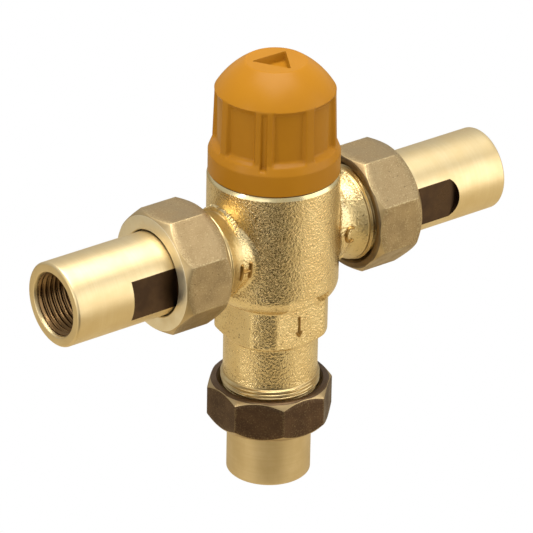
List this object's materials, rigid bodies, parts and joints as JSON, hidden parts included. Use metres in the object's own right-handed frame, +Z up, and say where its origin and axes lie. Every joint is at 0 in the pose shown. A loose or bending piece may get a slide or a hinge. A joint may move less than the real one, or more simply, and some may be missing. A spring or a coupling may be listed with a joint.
{
  "type": "thermostatic mixing valve",
  "caption": "Tee-shaped brass mixing valve with a domed adjusting cap, hot and cold inlet unions holding check valves, and a blended-water outlet union below.",
  "frame": {"origin": "centre of the outlet tube's end face, at the bottom of the valve", "axes": "+Z up the valve axis to the adjusting cap; +X towards the cold inlet, -X towards the hot inlet; the front with its flow arrow faces -Y"},
  "size_m": [0.1734, 0.0436, 0.1486],
  "materials": {
    "forged_brass": "forged, fine orange-peel surface",
    "outlet_nut_brass": "forged, dark brown oxide on the flats, machined chamfers",
    "nut_brass": "forged matte flats with machined chamfers",
    "turned_brass": "satin turned, dark oxide on the wrench flats",
    "cap_plastic": "moulded, glossy orange",
    "spindle_brass": "machined",
    "stainless": "bright spring wire and sheet",
    "seal_rubber": "moulded",
    "fibre_washer": "flat cut",
    "shuttle_plastic": "moulded",
    "check_plastic": "moulded",
    "element_copper": "drawn copper alloy cup"
  },
  "bodies": {
    "valve": {"valve_body": "forged_brass", "bonnet": "spindle_brass", "bonnet_gasket": "seal_rubber", "hot_seat": "stainless", "flow_guide": "shuttle_plastic", "return_spring": "stainless"},
    "spindle": {"adjusting_spindle": "spindle_brass", "spindle_seal_lower": "seal_rubber", "spindle_seal_upper": "seal_rubber", "spindle_clip": "stainless"},
    "cap": {"temperature_cap": "cap_plastic"},
    "carrier": {"overtravel_carrier": "spindle_brass", "overtravel_clip": "stainless", "overtravel_spring": "stainless"},
    "plate": {"overtravel_plate": "stainless", "element_pin": "stainless"},
    "shuttle": {"shuttle": "shuttle_plastic", "shuttle_seal": "seal_rubber", "wax_element": "element_copper", "element_clip": "stainless"},
    "outlet_tail": {"outlet_tailpiece": "turned_brass", "outlet_union_washer": "fibre_washer"},
    "outlet_nut": {"outlet_union_nut": "outlet_nut_brass"},
    "hot_tail": {"hot_tailpiece": "turned_brass", "hot_union_washer": "fibre_washer", "hot_check_cage": "check_plastic", "hot_check_seal": "seal_rubber", "hot_check_spring": "stainless", "hot_strainer": "stainless"},
    "hot_nut": {"hot_union_nut": "nut_brass"},
    "hot_poppet": {"hot_check_poppet": "check_plastic"},
    "cold_tail": {"cold_tailpiece": "turned_brass", "cold_union_washer": "fibre_washer", "cold_check_cage": "check_plastic", "cold_check_seal": "seal_rubber", "cold_check_spring": "stainless", "cold_strainer": "stainless"},
    "cold_nut": {"cold_union_nut": "nut_brass"},
    "cold_poppet": {"cold_check_poppet": "check_plastic"}
  },
  "joints": [
    {"name": "spindle_turn", "type": "hinge", "parent": "valve", "child": "spindle", "pos_m": [0, 0, 0.1151], "axis": [0, 0, 1], "range_deg": [-270, 270]},
    {"name": "cap_lift", "type": "slide", "parent": "spindle", "child": "cap", "axis": [0, 0, 1], "range_m": [0, 0.045]},
    {"name": "carrier_travel", "type": "slide", "parent": "valve", "child": "carrier", "axis": [0, 0, 1], "range_m": [-0.00095, 0.00095]},
    {"name": "overtravel", "type": "slide", "parent": "carrier", "child": "plate", "axis": [0, 0, 1], "range_m": [0, 0.0015], "stiffness_N_per_m": 9000, "springref_m": -0.003, "deforming": ["overtravel_spring"]},
    {"name": "shuttle_travel", "type": "slide", "parent": "valve", "child": "shuttle", "axis": [0, 0, 1], "range_m": [-0.0004, 0.0004], "stiffness_N_per_m": 5000, "deforming": ["return_spring"]},
    {"name": "hot_union_draw", "type": "slide", "parent": "valve", "child": "hot_tail", "axis": [-1, 0, 0], "range_m": [0, 0.0089]},
    {"name": "hot_union_turn", "type": "hinge", "parent": "hot_tail", "child": "hot_nut", "pos_m": [-0.0396, 0, 0.0865], "axis": [-1, 0, 0], "range_deg": [0, 2520]},
    {"name": "hot_check_lift", "type": "slide", "parent": "hot_tail", "child": "hot_poppet", "axis": [1, 0, 0], "range_m": [0, 0.003], "stiffness_N_per_m": 100, "springref_m": -0.004, "deforming": ["hot_check_spring"]},
    {"name": "cold_union_draw", "type": "slide", "parent": "valve", "child": "cold_tail", "axis": [1, 0, 0], "range_m": [0, 0.0089]},
    {"name": "cold_union_turn", "type": "hinge", "parent": "cold_tail", "child": "cold_nut", "pos_m": [0.038, 0, 0.0865], "axis": [1, 0, 0], "range_deg": [0, 2520]},
    {"name": "cold_check_lift", "type": "slide", "parent": "cold_tail", "child": "cold_poppet", "axis": [-1, 0, 0], "range_m": [0, 0.003], "stiffness_N_per_m": 100, "springref_m": -0.004, "deforming": ["cold_check_spring"]},
    {"name": "outlet_union_draw", "type": "slide", "parent": "valve", "child": "outlet_tail", "axis": [0, 0, -1], "range_m": [0, 0.0051]},
    {"name": "outlet_union_turn", "type": "hinge", "parent": "outlet_tail", "child": "outlet_nut", "pos_m": [0, 0, 0.027], "axis": [0, 0, -1], "range_deg": [0, 1440]}
  ],
  "couplings": [
    {"joint": "carrier_travel", "follows": "spindle_turn", "m_per_rad": -0.00019894},
    {"joint": "hot_union_draw", "follows": "hot_union_turn", "m_per_rad": 0.00020213},
    {"joint": "cold_union_draw", "follows": "cold_union_turn", "m_per_rad": 0.00020213},
    {"joint": "outlet_union_draw", "follows": "outlet_union_turn", "m_per_rad": 0.00020213}
  ]
}
